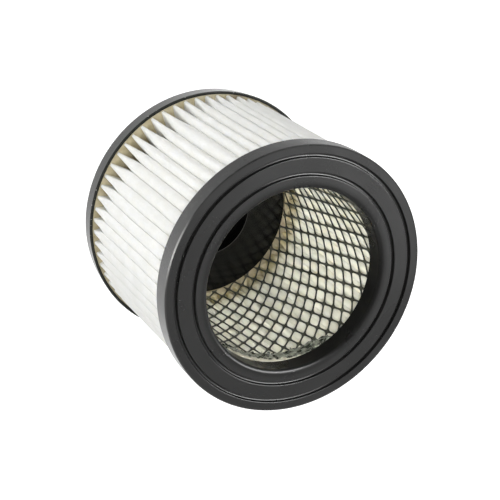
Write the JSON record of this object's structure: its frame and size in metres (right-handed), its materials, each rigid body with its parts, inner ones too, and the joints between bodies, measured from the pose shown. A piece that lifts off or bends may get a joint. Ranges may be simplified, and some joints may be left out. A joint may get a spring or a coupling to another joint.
{
  "type": "ash vacuum filter",
  "caption": "Round pleated cartridge filter with an expanded metal core, a grooved open end cap that seals on a vacuum's head, and a closed far end cap.",
  "frame": {"origin": "centre of the closed end's base, on the filter's axis", "axes": "+Z along the axis from the closed end to the open end; X and Y across it"},
  "size_m": [0.13, 0.13, 0.107],
  "materials": {
    "cap_plastic": "satin",
    "filter_paper": "matte",
    "mesh_metal": "satin black paint",
    "potting": "satin"
  },
  "bodies": {
    "root": {"open_end_cap": "cap_plastic", "closed_end_cap": "cap_plastic", "pleated_media": "filter_paper", "support_mesh": "mesh_metal", "open_end_potting": "potting", "closed_end_potting": "potting"}
  },
  "joints": []
}
